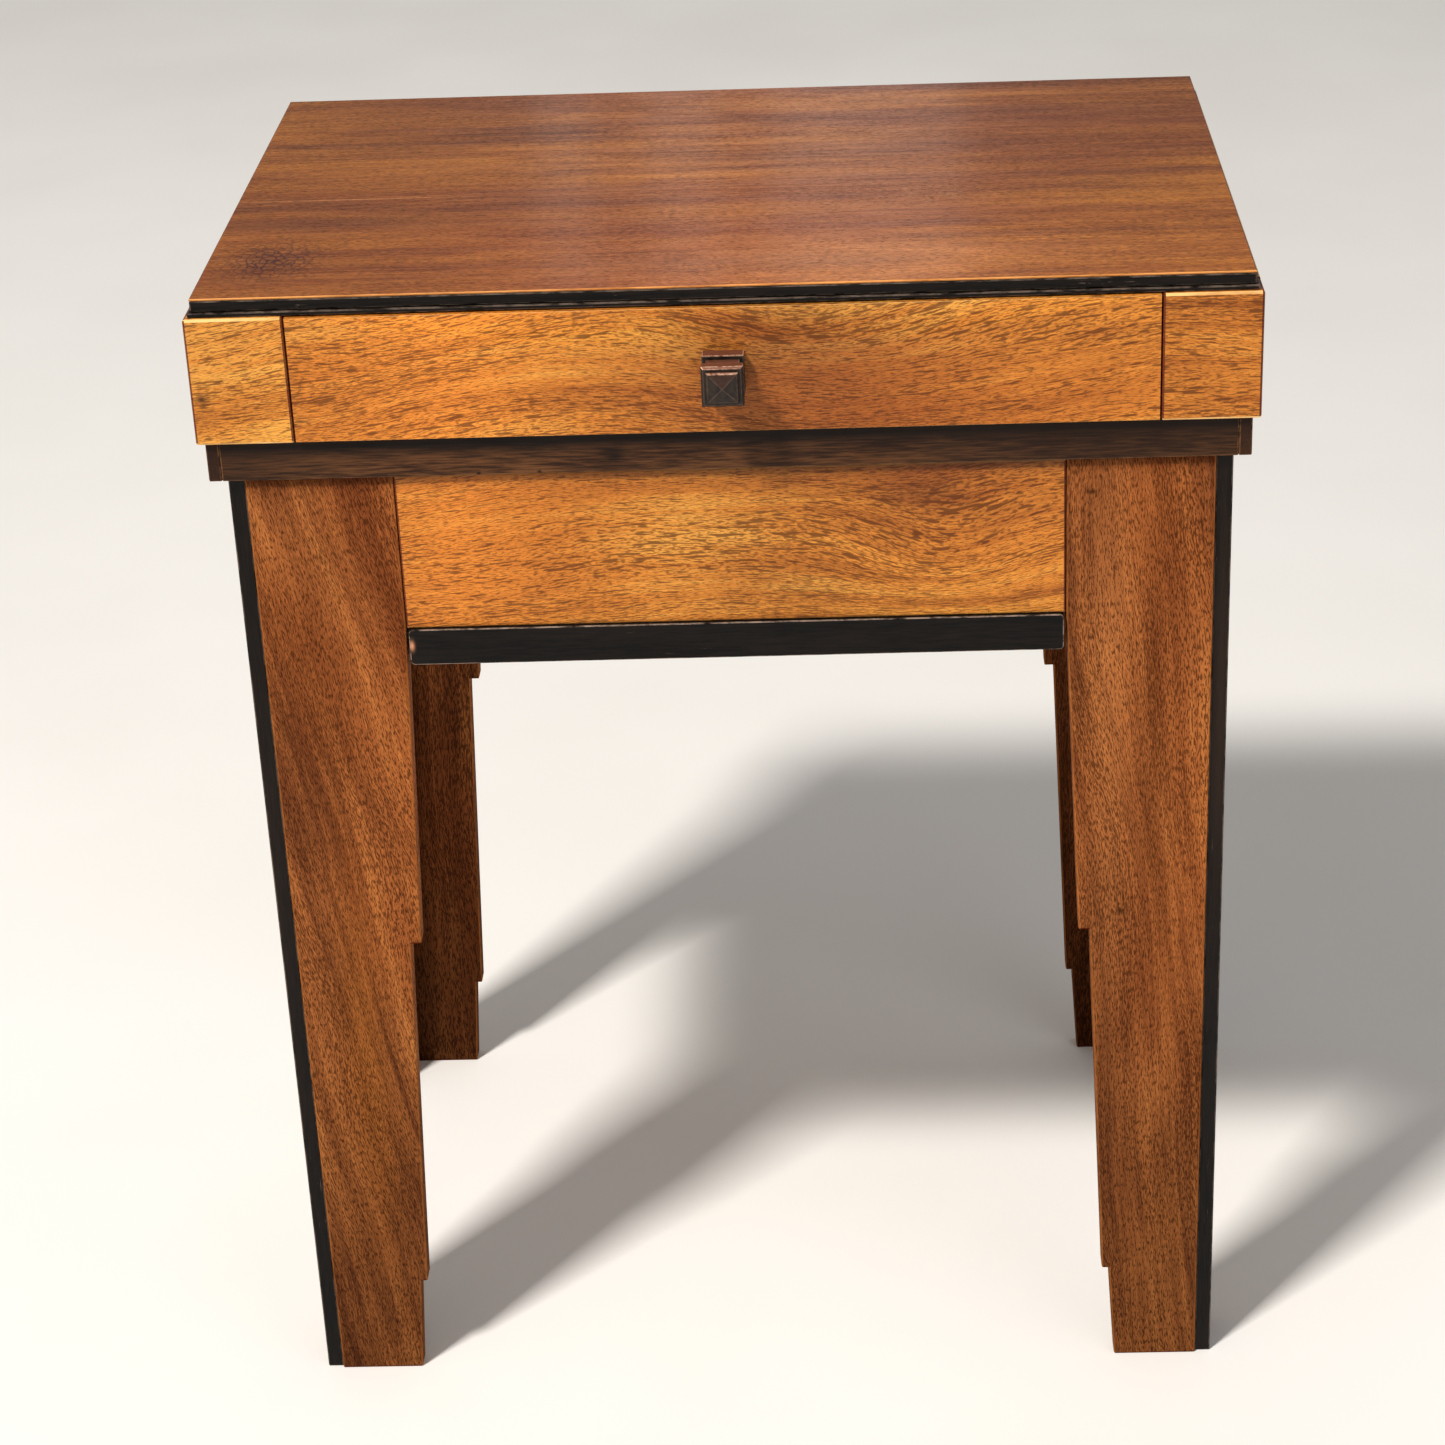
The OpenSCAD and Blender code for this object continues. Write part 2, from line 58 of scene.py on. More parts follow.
# The camera, measured from the floor under the middle of the drawer casing's front
CAMERA_FROM_FRONT = Vector((0.0741, -1.6357, 1.2572))
CAMERA_PITCH = math.radians(25.772)
CAMERA_YAW = math.radians(-1.740)
CAMERA_ROLL = math.radians(-2.137)
CAMERA_SENSOR = 36.0
CAMERA_LENS = 83.42
CAMERA_SHIFT = (-0.0411, -0.0368)

BODY_OF = {
    node: body
    for body, nodes in frame["record"]["behaviour"]["bodies"].items()
    for node in nodes
}
SLOT_OF = {row["node"]: row["material_slot"] for row in frame["record"]["subparts"]}
AXES = {"X": Vector((1, 0, 0)), "Y": Vector((0, 1, 0)), "Z": Vector((0, 0, 1))}


# ---------- Materials ----------

def srgb(red, green, blue):
    """A colour given as it looks on a screen, 0 to 255, as linear light."""
    return tuple((c / 255) ** 2.2 for c in (red, green, blue)) + (1.0,)


class Paint:
    """Builds one node material, a step at a time."""

    def __init__(self, name):
        self.material = bpy.data.materials.new(name)
        self.material.use_nodes = True
        self.tree = self.material.node_tree
        self.shader = next(n for n in self.tree.nodes if n.type == "BSDF_PRINCIPLED")

    def put(self, socket, value):
        """Links a node's output to a socket, or sets a plain value on it."""
        if isinstance(value, bpy.types.NodeSocket):
            self.tree.links.new(value, socket)
        else:
            socket.default_value = value

    def set(self, **values):
        """Sets the shader's inputs, named with _ for a space."""
        for name, value in values.items():
            self.put(self.shader.inputs[name.replace("_", " ")], value)

    def place(self):
        """Coordinates fixed to the object."""
        return self.tree.nodes.new("ShaderNodeTexCoord").outputs["Object"]

    def attribute(self, name, output="Fac"):
        """A value that is stored on the mesh."""
        node = self.tree.nodes.new("ShaderNodeAttribute")
        node.attribute_name = name
        return node.outputs[output]

    def split(self, vector):
        """The three numbers of a vector."""
        node = self.tree.nodes.new("ShaderNodeSeparateXYZ")
        self.put(node.inputs[0], vector)
        return node.outputs

    def join(self, x, y, z):
        """A vector from three numbers."""
        node = self.tree.nodes.new("ShaderNodeCombineXYZ")
        for socket, value in zip(node.inputs, (x, y, z)):
            self.put(socket, value)
        return node.outputs[0]

    def stretch(self, vector, scale, offset=(0, 0, 0)):
        """Coordinates scaled along each axis and then moved."""
        node = self.tree.nodes.new("ShaderNodeMapping")
        self.put(node.inputs["Vector"], vector)
        node.inputs["Scale"].default_value = scale
        node.inputs["Location"].default_value = offset
        return node.outputs[0]

    def noise(self, vector, scale, detail=2.0, rough=0.5, distort=0.0, offset=(0, 0, 0)):
        """Noise whose grain is scale, in features per metre along each axis."""
        node = self.tree.nodes.new("ShaderNodeTexNoise")
        self.put(node.inputs["Vector"], self.stretch(vector, scale, offset))
        node.inputs["Scale"].default_value = 1.0
        node.inputs["Detail"].default_value = detail
        node.inputs["Roughness"].default_value = rough
        node.inputs["Distortion"].default_value = distort
        return node.outputs["Fac"]

    def cells(self, vector, scale):
        """The distance from the edges of a pattern of cells, which makes a net of fine cracks."""
        node = self.tree.nodes.new("ShaderNodeTexVoronoi")
        node.feature = "DISTANCE_TO_EDGE"
        self.put(node.inputs["Vector"], self.stretch(vector, scale))
        node.inputs["Scale"].default_value = 1.0
        return node.outputs["Distance"]

    def math(self, operation, a, b=0.0, clamp=False):
        """One sum; clamp keeps its result from 0 to 1."""
        node = self.tree.nodes.new("ShaderNodeMath")
        node.operation = operation
        node.use_clamp = clamp
        self.put(node.inputs[0], a)
        self.put(node.inputs[1], b)
        return node.outputs[0]

    def ease(self, value, low, high, to_low=0.0, to_high=1.0):
        """Turns the stretch from low to high into the stretch from to_low to to_high, smoothly."""
        node = self.tree.nodes.new("ShaderNodeMapRange")
        node.interpolation_type = "SMOOTHSTEP"
        self.put(node.inputs["Value"], value)
        for name, number in zip(("From Min", "From Max", "To Min", "To Max"), (low, high, to_low, to_high)):
            node.inputs[name].default_value = number
        return node.outputs["Result"]

    def ramp(self, value, stops):
        """A colour picked by a value from stops of a position and a colour."""
        node = self.tree.nodes.new("ShaderNodeValToRGB")
        self.put(node.inputs["Fac"], value)
        elements = node.color_ramp.elements
        while len(elements) < len(stops):
            elements.new(0.5)
        for element, (position, colour) in zip(elements, stops):
            element.position = position
            element.color = colour
        return node.outputs["Color"]

    def mix(self, factor, a, b, blend="MIX"):
        """Colour a, turned by the factor into colour b."""
        node = self.tree.nodes.new("ShaderNodeMix")
        node.data_type = "RGBA"
        node.blend_type = blend
        self.put(node.inputs["Factor"], factor)
        colour_a, colour_b = (s for s in node.inputs if s.type == "RGBA")
        self.put(colour_a, a)
        self.put(colour_b, b)
        return next(s for s in node.outputs if s.type == "RGBA")

    def bump(self, height, depth):
        """A relief, whose height of 1 stands for the depth in metres."""
        node = self.tree.nodes.new("ShaderNodeBump")
        node.inputs["Strength"].default_value = 1.0
        node.inputs["Distance"].default_value = depth
        self.put(node.inputs["Height"], height)
        return node.outputs[0]

    def vector(self, operation, a, b):
        """One sum on two vectors."""
        node = self.tree.nodes.new("ShaderNodeVectorMath")
        node.operation = operation
        self.put(node.inputs[0], a)
        self.put(node.inputs[1], b)
        return node.outputs["Value" if operation == "DOT_PRODUCT" else "Vector"]

    def hill(self, point, reach):
        """1 at a point on the table, falling softly to 0 over the reach along each axis."""
        off = self.vector("DIVIDE", self.vector("SUBTRACT", self.place(), point), reach)
        return self.math("POWER", math.e, self.math("MULTIPLY", self.vector("DOT_PRODUCT", off, off), -1.0))

    def marked(self, colour, marks):
        """Knots, stains, rubs and painted shadows: soft spots of another colour."""
        for point, reach, other, strength in marks:
            amount = self.math("MULTIPLY", self.hill(point, reach), strength, clamp=True)
            colour = self.mix(amount, colour, other)
        return colour

    def shaded(self, colour, shade):
        """A colour made lighter or darker by a factor."""
        return self.mix(1.0, colour, self.join(shade, shade, shade), "MULTIPLY")


def front_spot(node, across, up):
    """A point on a board's front, as shares of its width and height."""
    low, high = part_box(node)
    return (low.x + across * (high.x - low.x), low.y, low.z + up * (high.z - low.z))


def top_spot(across, back):
    """A point on the top, as shares of its width and depth."""
    low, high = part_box("top_panel")
    return (low.x + across * (high.x - low.x), low.y + back * (high.y - low.y), high.z)


SEAM_RED = srgb(84, 26, 14)
CRACK = srgb(66, 22, 6)


def walnut(
    name, light, middle, dark, pore, rough, coat, rubbed, blush, tones=(), swirls=(), marks=(),
    cloudy=0.62, banded=0.38, streaky=0.30, fine_pores=0.8, bold_pores=1.0, bold_size=(190, 1500, 1500),
    shine=0.14, cracked=None,
):
    """Walnut: cloudy figure, fine streaks and short dark pores, all bent round the swirls in the board."""
    paint = Paint(name)
    along, across, deep = paint.split(paint.attribute("grain", "Vector"))
    straight = paint.join(along, across, deep)
    sway = paint.math("SUBTRACT", paint.noise(straight, (4, 14, 14), detail=1), 0.5)
    across = paint.math("ADD", across, paint.math("MULTIPLY", sway, 0.04))
    for point, reach, lift in swirls:
        across = paint.math("ADD", across, paint.math("MULTIPLY", paint.hill(point, reach), lift))
    bent = paint.join(along, across, deep)

    # The figure: clouds, bands and streaks
    cloud = paint.noise(bent, (4, 19, 19), detail=3, rough=0.6)
    bands = paint.noise(bent, (1.2, 70, 70), detail=2, rough=0.6, offset=(2, 5, 1))
    streaks = paint.noise(bent, (12, 480, 480), detail=3, rough=0.65)
    figure = paint.math("MULTIPLY", paint.math("SUBTRACT", streaks, 0.5), streaky)
    figure = paint.math("ADD", figure, paint.math("MULTIPLY", cloud, cloudy))
    figure = paint.math("ADD", figure, paint.math("MULTIPLY", bands, banded))
    colour = paint.ramp(figure, [(0.37, light), (0.50, middle), (0.66, dark)])
    glow = paint.ease(paint.noise(straight, (2.2, 7, 7), detail=2, offset=(9, 3, 6)), 0.42, 0.68, 0.0, 0.5)
    colour = paint.mix(glow, colour, blush)
    colour = paint.marked(colour, marks)

    # The fibre, and two sizes of pores that crowd together
    fibre = paint.noise(bent, (160, 2600, 2600), detail=2, rough=0.6)
    colour = paint.shaded(colour, paint.ease(fibre, 0.30, 0.72, 1.18, 0.78))
    crowd = paint.math("SUBTRACT", paint.noise(bent, (9, 45, 45), detail=2, offset=(3, 1, 7)), 0.5)
    fine = paint.noise(bent, (280, 1800, 1800), detail=1)
    fine = paint.math("ADD", fine, paint.math("MULTIPLY", crowd, 0.2))
    fine = paint.ease(fine, 0.50, 0.62, 0.0, fine_pores)
    bold = paint.noise(bent, bold_size, detail=0)
    bold = paint.math("ADD", bold, paint.math("MULTIPLY", crowd, 0.3))
    bold = paint.ease(bold, 0.60, 0.69, 0.0, bold_pores)
    pores = paint.math("MAXIMUM", fine, bold)
    colour = paint.mix(paint.math("MULTIPLY", pores, 0.74), colour, pore)

    # Slow tones, end grain, cracks, rubbed arrises and seams
    for axis, low, high, stops in tones:
        tone = paint.ease(paint.split(paint.place())[axis], low, high)
        tone = paint.ramp(tone, [(at, (shade, shade, shade, 1.0)) for at, shade in stops])
        colour = paint.mix(1.0, colour, tone, "MULTIPLY")
    rings = paint.ease(paint.noise(bent, (3, 900, 260), detail=3, rough=0.7), 0.35, 0.65, 0.75, 0.38)
    colour = paint.mix(paint.attribute("endgrain"), colour, paint.shaded(colour, rings))
    colour = paint.shaded(colour, paint.attribute("tint"))
    if cracked:
        lines = paint.ease(paint.cells(straight, (210, 150, 190)), 0.0, 0.16, 1.2, 0.0)
        colour = paint.mix(paint.math("MULTIPLY", lines, paint.hill(*cracked), clamp=True), colour, CRACK)
    patchy = paint.ease(paint.noise(straight, (28, 110, 110), detail=3), 0.34, 0.58, 0.4, 1.0)
    colour = paint.mix(paint.math("MULTIPLY", paint.attribute("edge"), patchy), colour, rubbed)
    colour = paint.mix(paint.math("MULTIPLY", paint.attribute("seam"), 0.85), colour, SEAM_RED)

    # The surface
    roughness = paint.ease(streaks, 0.3, 0.7, rough - 0.05, rough + 0.07)
    roughness = paint.math("ADD", roughness, paint.math("MULTIPLY", pores, 0.2))
    height = paint.math("SUBTRACT", paint.math("MULTIPLY", fibre, 0.10), pores)
    paint.set(Base_Color=colour, Roughness=roughness, Normal=paint.bump(height, RELIEF))
    paint.set(Coat_Weight=coat, Coat_Roughness=0.14, Specular_IOR_Level=shine)
    return paint.material


def plain_wood(name, light, dark, fleck, rough=0.6):
    """Unpolished pale wood, with fine flecks and a little grime."""
    paint = Paint(name)
    grain = paint.attribute("grain", "Vector")
    bands = paint.noise(grain, (2.5, 60, 60), detail=3, rough=0.6, distort=0.3)
    colour = paint.ramp(bands, [(0.3, light), (0.72, dark)])
    flecks = paint.ease(paint.noise(grain, (220, 1500, 1500), detail=1), 0.62, 0.72)
    colour = paint.mix(paint.math("MULTIPLY", flecks, 0.5), colour, fleck)
    grime = paint.ease(paint.noise(paint.place(), (14, 14, 14), detail=4), 0.5, 0.8, 0.0, 0.35)
    colour = paint.mix(grime, colour, fleck)
    colour = paint.mix(paint.math("MULTIPLY", paint.attribute("endgrain"), 0.4), colour, fleck)
    colour = paint.shaded(colour, paint.attribute("tint"))
    height = paint.math("SUBTRACT", paint.noise(grain, (40, 1800, 1800), detail=2), flecks)
    paint.set(
        Base_Color=colour,
        Roughness=paint.ease(bands, 0.3, 0.7, rough - 0.06, rough + 0.08),
        Normal=paint.bump(height, RELIEF),
        Specular_IOR_Level=0.3,
    )
    return paint.material


def stained(name, dark, lit, rubbed, rough, show, scratched, marks=()):
    """Stained wood: faint grain, scratches, and arrises rubbed back towards the wood."""
    paint = Paint(name)
    grain = paint.attribute("grain", "Vector")
    streaks = paint.noise(grain, (60, 1000, 1000), detail=3, rough=0.6)
    clouds = paint.noise(grain, (8, 70, 70), detail=3, rough=0.6, offset=(4, 4, 2))
    shade = paint.math("ADD", paint.math("MULTIPLY", streaks, 0.6), paint.math("MULTIPLY", clouds, 0.4))
    colour = paint.mix(paint.ease(shade, 0.38, 0.66, 0.0, show), dark, lit)
    patches = paint.noise(paint.place(), (26, 26, 26), detail=4, rough=0.6)
    scratches = paint.noise(grain, (70, 1300, 1300), detail=3, rough=0.7, distort=0.8, offset=(5, 2, 9))
    scratches = paint.math("MULTIPLY", paint.ease(scratches, 0.64, 0.74), paint.ease(patches, 0.5, 0.7))
    colour = paint.mix(paint.math("MULTIPLY", scratches, scratched), colour, rubbed)
    colour = paint.marked(colour, marks)
    colour = paint.mix(paint.math("MULTIPLY", paint.attribute("endgrain"), 0.6), colour, dark)
    rub = paint.ease(paint.noise(grain, (80, 260, 260), detail=4, rough=0.7), 0.36, 0.62)
    colour = paint.mix(paint.math("MULTIPLY", paint.attribute("edge"), rub), colour, rubbed)
    height = paint.math("SUBTRACT", streaks, paint.math("MULTIPLY", scratches, 0.5))
    paint.set(
        Base_Color=colour,
        Roughness=paint.ease(patches, 0.3, 0.7, rough - 0.08, rough + 0.1),
        Normal=paint.bump(height, RELIEF),
        Specular_IOR_Level=0.14,
    )
    return paint.material


def bronze(name):
    """Dark patina over bronze, rubbed to bright metal on the edges, with a painted highlight on the faces
    that look up.
    """
    paint = Paint(name)
    place = paint.place()
    mottle = paint.noise(place, (260, 260, 260), detail=4, rough=0.65)
    colour = paint.ramp(mottle, [(0.3, srgb(27, 24, 23)), (0.7, srgb(60, 50, 44))])
    # Faces that look up are painted copper: a painted highlight from the light above
    colour = paint.mix(paint.math("MULTIPLY", paint.attribute("upward"), 0.5), colour, srgb(168, 104, 78))
    rub = paint.ease(paint.noise(place, (420, 420, 420), detail=3), 0.30, 0.6)
    # Arrises painted bright metal: rubbed, and where they look up a painted highlight
    edge = paint.math("MULTIPLY", paint.attribute("edge"), rub)
    colour = paint.mix(edge, colour, srgb(236, 190, 160))
    gloss = paint.math("MULTIPLY", edge, 0.14)
    paint.set(
        Base_Color=colour,
        Metallic=0.6,
        Roughness=paint.math("SUBTRACT", paint.ease(mottle, 0.3, 0.7, 0.38, 0.55), gloss),
        Normal=paint.bump(mottle, 0.12 * MM),
    )
    return paint.material


def steel(name):
    """Old screw steel with a brown bloom."""
    paint = Paint(name)
    bloom = paint.noise(paint.place(), (500, 500, 500), detail=4)
    paint.set(
        Base_Color=paint.ramp(bloom, [(0.4, srgb(150, 146, 140)), (0.7, srgb(110, 82, 60))]),
        Metallic=1.0,
        Roughness=paint.ease(bloom, 0.3, 0.7, 0.3, 0.6),
        Normal=paint.bump(bloom, RELIEF),
    )
    return paint.material


# Swirls in the front boards: middle, reach and lift
SWIRLS = (
    (front_spot("drawer_front", 0.60, 0.55), (0.085, 0.05, 0.040), 0.022),
    (front_spot("drawer_front", -0.15, 0.50), (0.200, 0.05, 0.300), 0.030),
    (front_spot("yarn_box_front", 0.82, 0.30), (0.055, 0.05, 0.028), 0.024),
)

# Marks on the wood, and painted shadows under ledges: middle, reach, colour and strength
KNOT = srgb(44, 22, 12)
# A painted shadow, as cast by the moulding's overhang onto the tops of the boards below it
PAINTED_LEDGE_SHADOW = srgb(66, 34, 20)
STAIN_SHADE = srgb(36, 24, 17)
NAIL_HOLE = srgb(10, 5, 4)
ALL_ALONG = 9.0
FRONT_MARKS = (
    (front_spot("drawer_front", 0.60, 0.45), (0.095, 0.05, 0.065), srgb(128, 61, 33), 0.70),
    (front_spot("drawer_front", 0.53, 0.84), (0.030, 0.05, 0.009), srgb(104, 52, 30), 0.30),
    # Painted shadow along the top of the yarn box front, under the moulding
    (front_spot("yarn_box_front", 0.50, 1.00), (ALL_ALONG, 0.05, 0.006), PAINTED_LEDGE_SHADOW, 0.60),
    (front_spot("yarn_box_front", 0.78, 0.80), (0.026, 0.05, 0.012), srgb(104, 54, 28), 0.55),
    (front_spot("yarn_box_front", 0.55, 0.30), (0.040, 0.05, 0.020), srgb(140, 74, 30), 0.35),
    (front_spot("yarn_box_front", 0.14, 0.50), (0.070, 0.05, 0.060), srgb(168, 92, 34), 0.35),
    (front_spot("casing_block_left", 0.11, 0.37), (0.0035, 0.05, 0.0022), KNOT, 0.90),
)
LEG_MARKS = (
    # Painted shadow along the tops of the front legs, under the moulding
    (front_spot("leg_front_left_face", 0.50, 1.00), (ALL_ALONG, 0.02, 0.007), PAINTED_LEDGE_SHADOW, 0.70),
    (front_spot("leg_front_right_face", 0.172, 0.966), (0.0030, 0.02, 0.0014), KNOT, 0.95),
    (front_spot("leg_front_right_face", 0.390, 0.526), (0.0026, 0.02, 0.0030), KNOT, 0.85),
    (front_spot("leg_front_left_face", 0.30, 0.80), (0.014, 0.02, 0.060), srgb(92, 46, 24), 0.45),
    (front_spot("leg_front_left_face", 0.42, 0.36), (0.012, 0.02, 0.110), srgb(200, 120, 50), 0.28),
    (front_spot("leg_front_right_face", 0.62, 0.75), (0.005, 0.02, 0.140), srgb(92, 48, 26), 0.30),
    (front_spot("leg_front_right_face", 0.30, 0.72), (0.012, 0.02, 0.200), srgb(196, 128, 76), 0.26),
)
TOP_MARKS = (
    (top_spot(0.12, 0.446), (0.066, 0.0007, 0.01), srgb(226, 150, 92), 0.80),
    (top_spot(0.10, 0.33), (0.080, 0.012, 0.01), srgb(84, 34, 16), 0.50),
    (top_spot(0.062, 0.157), (0.018, 0.020, 0.01), srgb(66, 24, 10), 0.50),
    (top_spot(0.67, 0.11), (0.110, 0.030, 0.01), srgb(214, 138, 78), 0.35),
    (top_spot(0.12, 0.06), (0.110, 0.050, 0.01), srgb(96, 38, 14), 0.40),
)
# The cracked patch in the top: middle and reach
TOP_CRACKS = (top_spot(0.062, 0.157), (0.026, 0.030, 0.01))
MOULDING_MARKS = (
    # A painted shadow along the moulding's top, as cast by the casing's overhang
    (front_spot("moulding_front", 0.50, 0.88), (ALL_ALONG, 0.01, 0.0075), srgb(16, 12, 11), 0.94),
    (front_spot("moulding_front", 0.88, 0.40), (0.150, 0.01, 0.050), STAIN_SHADE, 0.60),
    (front_spot("moulding_front", 0.00, 0.40), (0.050, 0.01, 0.050), STAIN_SHADE, 0.55),
    (front_spot("moulding_front", 0.389, 0.42), (0.0070, 0.01, 0.0055), srgb(22, 17, 15), 0.85),
    (front_spot("moulding_front", 0.254, 0.05), (0.0011, 0.01, 0.0010), NAIL_HOLE, 1.00),
    (front_spot("moulding_front", 0.314, 0.05), (0.0011, 0.01, 0.0010), NAIL_HOLE, 1.00),
)
BLACK_MARKS = (
    (front_spot("leg_front_left_strip", 0.25, 0.62), (0.006, 0.02, 0.190), srgb(62, 42, 30), 0.10),
    (front_spot("leg_front_right_strip", 0.60, 0.75), (0.004, 0.02, 0.110), srgb(70, 50, 38), 0.30),
    (front_spot("yarn_box_grip_rail", 0.004, 0.55), (0.0012, 0.01, 0.0026), srgb(204, 140, 104), 1.00),
)

# Slow changes of tone: axis, from, to, and the tone at shares of the way
ACROSS_FRONT = (
    0, -0.28, 0.28,
    [(0.0, 0.81), (0.14, 1.15), (0.27, 0.92), (0.38, 0.88), (0.60, 0.84), (0.76, 0.93), (1.0, 0.92)],
)
DOWN_LEGS = (2, 0.0, 0.60, [(0.0, 0.56), (0.25, 0.84), (0.55, 1.06), (1.0, 1.02)])
ACROSS_TOP = (0, -0.28, 0.28, [(0.0, 0.74), (0.25, 0.90), (0.50, 1.02), (0.80, 0.92), (1.0, 0.76)])
ALONG_TOP = (1, -0.17, 0.20, [(0.0, 1.25), (0.3, 1.02), (1.0, 0.94)])

MATERIALS = {
    "walnut_top": walnut(
        "walnut_top", srgb(188, 112, 36), srgb(156, 86, 26), srgb(104, 50, 14), srgb(52, 22, 9),
        rough=0.36, coat=0.19, rubbed=srgb(232, 160, 92), blush=srgb(134, 62, 20),
        tones=(ACROSS_TOP, ALONG_TOP), marks=TOP_MARKS, cracked=TOP_CRACKS,
        cloudy=0.50, banded=0.44, streaky=0.44, fine_pores=0.75, bold_pores=0.35,
    ),
    "walnut_front": walnut(
        "walnut_front", srgb(246, 176, 80), srgb(218, 136, 54), srgb(154, 86, 34), srgb(72, 34, 14),
        rough=0.42, coat=0.12, rubbed=srgb(255, 204, 132), blush=srgb(202, 114, 44),
        tones=(ACROSS_FRONT,), swirls=SWIRLS, marks=FRONT_MARKS, bold_size=(110, 1200, 1200),
    ),
    "walnut_leg": walnut(
        "walnut_leg", srgb(196, 124, 68), srgb(162, 97, 54), srgb(108, 62, 37), srgb(52, 27, 15),
        rough=0.62, coat=0.0, rubbed=srgb(176, 108, 54), blush=srgb(148, 78, 39), shine=0.03,
        tones=(DOWN_LEGS,), marks=LEG_MARKS,
        cloudy=0.56, banded=0.52, streaky=0.38, fine_pores=1.0, bold_pores=0.9,
    ),
    "ebonised": stained(
        "ebonised", srgb(11, 10, 9), srgb(32, 25, 21), srgb(176, 152, 136),
        rough=0.42, show=0.8, scratched=0.5, marks=BLACK_MARKS,
    ),
    "stained_moulding": stained(
        "stained_moulding", srgb(46, 29, 20), srgb(104, 68, 42), srgb(150, 104, 68),
        rough=0.5, show=1.0, scratched=0.35, marks=MOULDING_MARKS,
    ),
    "inside_wood": plain_wood("inside_wood", srgb(196, 152, 100), srgb(164, 116, 70), srgb(108, 70, 42)),
    "plywood": plain_wood("plywood", srgb(204, 164, 112), srgb(176, 132, 84), srgb(130, 88, 54)),
    "bronze": bronze("bronze"),
    "steel": steel("steel"),
}


# ---------- Pieces ----------

# Boards whose grain doesn't run along their longest way
GRAIN = {"casing_block_left": "X", "casing_block_right": "X"}
# Boards whose grain leans
TILT = {
    "leg_front_left_face": math.radians(-10),
    "leg_front_right_face": math.radians(-6),
    "casing_block_left": math.radians(4),
}
# No two boards match: how many places there are to cut them from, along, across and into the wood,
# how far apart those places are, and the range of the boards' tints
CUT_PLACES = (97, 89, 83)
CUT_APART = 0.37
LEAST_TINT = 0.94
TINT_SPREAD = 0.12
TINT_STEPS = 100
# The rear legs' boards get a darker tint: painted shade, for the shade they stand in under the table
REAR_LEG_SHADE_TINT = {
    "leg_back_left_face": 0.80,
    "leg_back_right_face": 0.76,
    "leg_back_left_side": 0.80,
    "leg_back_right_side": 0.80,
}
# The leg boards' inner faces are painted darker: partly painted shade, for the shade between the legs, and
# partly unpolished wood
INNER_FACE_SHADE_TINT = 0.5
# How far the arrises are rubbed pale, 0 to 1
WORN = {
    "walnut_top": 0.85,
    "walnut_front": 0.9,
    "walnut_leg": 0.35,
    "ebonised": 0.25,
    "stained_moulding": 0.35,
    "bronze": 1.0,
}
# Pieces with wear of their own: the grip rail is rubbed more, and the yarn box front's arrises are kept
# dark as painted shade, for the shade under the moulding
OWN_WEAR_AND_SHADE = {"yarn_box_grip_rail": 0.65, "yarn_box_front": 0.15}
# The metal's arrises are painted bright the more they look up, and hardly anywhere else: partly rubbed
# metal, partly a painted highlight from the light above
LEAST_RUB_AND_GLINT = 0.05
RUB_AND_GLINT_SLOPE = 1.4
RUB_AND_GLINT_START = 0.25
WALNUTS = ("walnut_top", "walnut_front", "walnut_leg")

# Rounded arrises: their widths, the steps round each, and the least turn of an edge that gets one
ARRIS = 0.8 * MM
ARRIS_STEPS = 2
ARRISES = {
    "top_panel": 0.5 * MM,
    "drawer_front": 0.7 * MM,
    "drawer_side_left": 0.4 * MM,
    "drawer_side_right": 0.4 * MM,
    "casing_block_left": 1.3 * MM,
    "casing_block_right": 1.3 * MM,
    "leg_front_left_face": 1.0 * MM,
    "leg_front_right_face": 1.0 * MM,
    "yarn_box_front": 1.0 * MM,
    "yarn_box_grip_rail": 0.6 * MM,
    "knob": 0.35 * MM,
    "knob_plate": 0.6 * MM,
    "knob_screw": 0.2 * MM,
    "top_screws": 0.2 * MM,
    "grip_rail_screws": 0.2 * MM,
}
LEAST_TURN = math.radians(25)
OWN_LEAST_TURN = {"knob": math.radians(8)}
SHORT_EDGE = 2 * MM
# Pieces that are rounded only round one face, and the way it looks
SHOW_FACE = {
    "drawer_front": -AXES["Y"],
    "yarn_box_grip_rail": -AXES["Y"],
    "black_rail_back": AXES["Y"],
    "black_rail_left": -AXES["X"],
    "black_rail_right": AXES["X"],
}

# When points are one point, faces one plane, and two directions much the same
SAME_POINT = 0.001 * MM
SAME_PLANE = 0.01 * MM
FLAT_TURN = math.radians(0.5)
SAME_WAY = 0.9999
NEARLY_SAME_WAY = 0.9
ROUGHLY_SAME_WAY = 0.7


def weld_and_flatten(mesh):
    """A bmesh of a CAD mesh, with split vertices joined and each flat face made whole."""
    work = bmesh.new()
    work.from_mesh(mesh)
    bmesh.ops.remove_doubles(work, verts=work.verts, dist=SAME_POINT)
    bmesh.ops.dissolve_limit(work, angle_limit=FLAT_TURN, verts=work.verts, edges=work.edges)
    return work


def outside_edges(work, least_turn, way):
    """Edges that turn outwards enough: the long ones, or those round the face that looks one way."""
    edges = [
        edge for edge in work.edges
        if len(edge.link_faces) == 2 and edge.calc_face_angle_signed(0.0) > least_turn
    ]
    if way is None:
        return [edge for edge in edges if edge.calc_length() > SHORT_EDGE]
    plane = max(vertex.co.dot(way) for vertex in work.verts) - SAME_PLANE
    return [edge for edge in edges if min(vertex.co.dot(way) for vertex in edge.verts) > plane]


